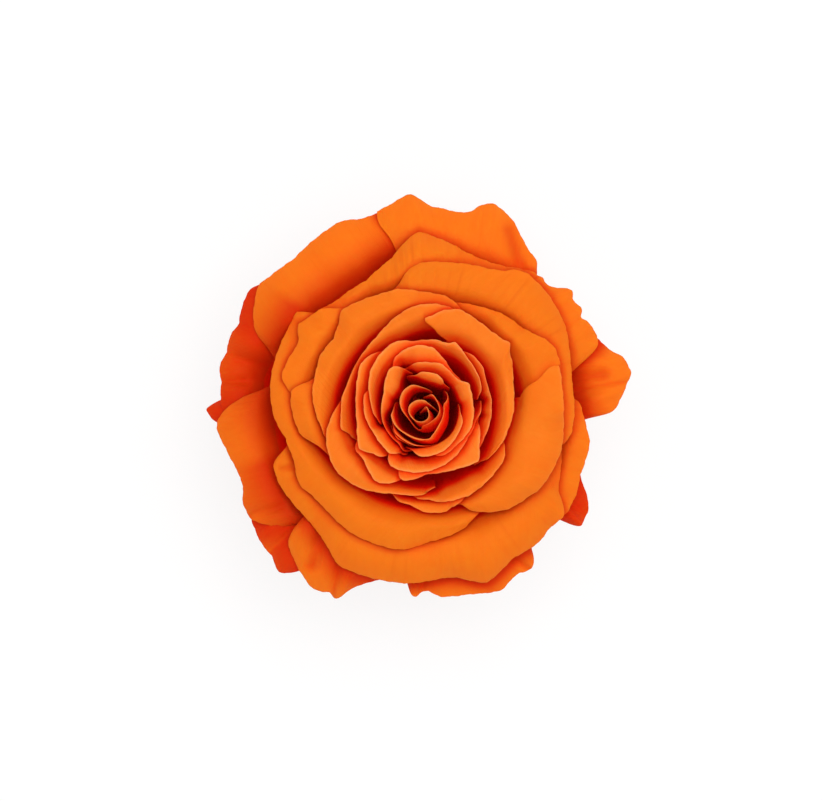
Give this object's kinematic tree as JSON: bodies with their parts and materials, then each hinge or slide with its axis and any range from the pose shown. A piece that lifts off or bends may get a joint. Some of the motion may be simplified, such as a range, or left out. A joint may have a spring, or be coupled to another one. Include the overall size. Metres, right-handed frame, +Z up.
{
  "type": "preserved rose head",
  "caption": "Open orange preserved rose head of nested rolled and reflexed petals on a turned receptacle with sepals and a short cut stub.",
  "frame": {"origin": "centre of the head's footprint, on the surface it stands on", "axes": "+Z up, out of the open bloom; +X and +Y across the bloom"},
  "size_m": [0.062, 0.0586, 0.0432],
  "materials": {
    "petal": "soft matt dyed petal",
    "sepal": "matt leaf",
    "receptacle": "matt dried plant"
  },
  "bodies": {
    "root": {"receptacle": "receptacle", "sepal_1": "sepal", "sepal_2": "sepal", "sepal_3": "sepal", "sepal_4": "sepal", "sepal_5": "sepal", "petal_heart_1": "petal", "petal_heart_2": "petal", "petal_heart_3": "petal", "petal_bud_top": "petal", "petal_heart_4": "petal", "petal_heart_5": "petal", "petal_bud_low": "petal", "petal_bud_left": "petal", "petal_bud_right": "petal", "petal_bud_upper": "petal", "petal_cup_top": "petal", "petal_cup_left_inner": "petal", "petal_cup_low": "petal", "petal_cup_left": "petal", "petal_cup_low_outer": "petal", "petal_cup_right": "petal", "petal_cup_lower_left": "petal", "petal_ring_right": "petal", "petal_ring_top": "petal", "petal_ring_left": "petal", "petal_ring_low": "petal", "petal_ring_low_outer": "petal", "petal_mid_top": "petal", "petal_mid_left": "petal", "petal_mid_low_right": "petal", "petal_mid_right": "petal", "petal_fan_upper_right": "petal", "petal_fan_left": "petal", "petal_fan_upper": "petal", "petal_fan_lower_left": "petal", "petal_fan_low": "petal", "petal_fan_low_right": "petal", "petal_outer_bottom_left": "petal", "petal_outer_left_low": "petal", "petal_outer_corner": "petal", "petal_outer_upper_right": "petal", "petal_outer_top": "petal", "petal_outer_upper_left": "petal", "petal_outer_right": "petal", "petal_outer_left_top": "petal", "petal_outer_left_tip": "petal", "petal_outer_bottom": "petal", "petal_outer_low_right": "petal"}
  },
  "joints": []
}
